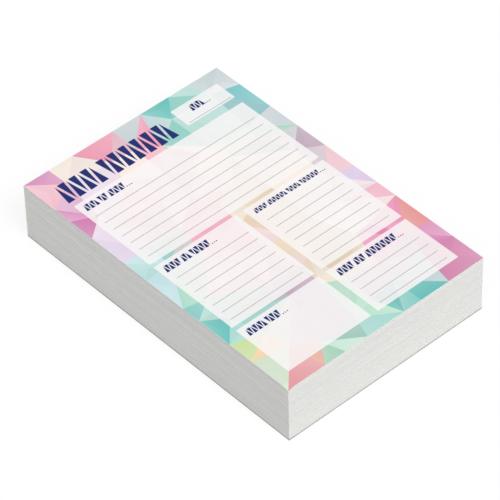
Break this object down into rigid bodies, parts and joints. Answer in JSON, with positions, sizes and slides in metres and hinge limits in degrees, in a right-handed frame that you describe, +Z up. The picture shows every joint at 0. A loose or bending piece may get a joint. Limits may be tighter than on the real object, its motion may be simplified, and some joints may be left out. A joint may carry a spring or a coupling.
{
  "type": "planner pad",
  "caption": "Thick tear-off pad of printed planning sheets, glued along its head edge and backed with grey board.",
  "frame": {"origin": "middle of the underside, on the surface that the pad lies on", "axes": "+X across the page to the reader's right, +Y up the page towards the glued head, +Z up out of the printed face"},
  "size_m": [0.1524, 0.229, 0.041],
  "materials": {
    "paper": "matt uncoated, white cut edges, printed top sheet",
    "greyboard": "matt recycled board with flecks",
    "padding_compound": "satin dried film with brush ridges"
  },
  "bodies": {
    "root": {"sheet_block": "paper", "backing_board": "greyboard", "padding_glue": "padding_compound"}
  },
  "joints": []
}
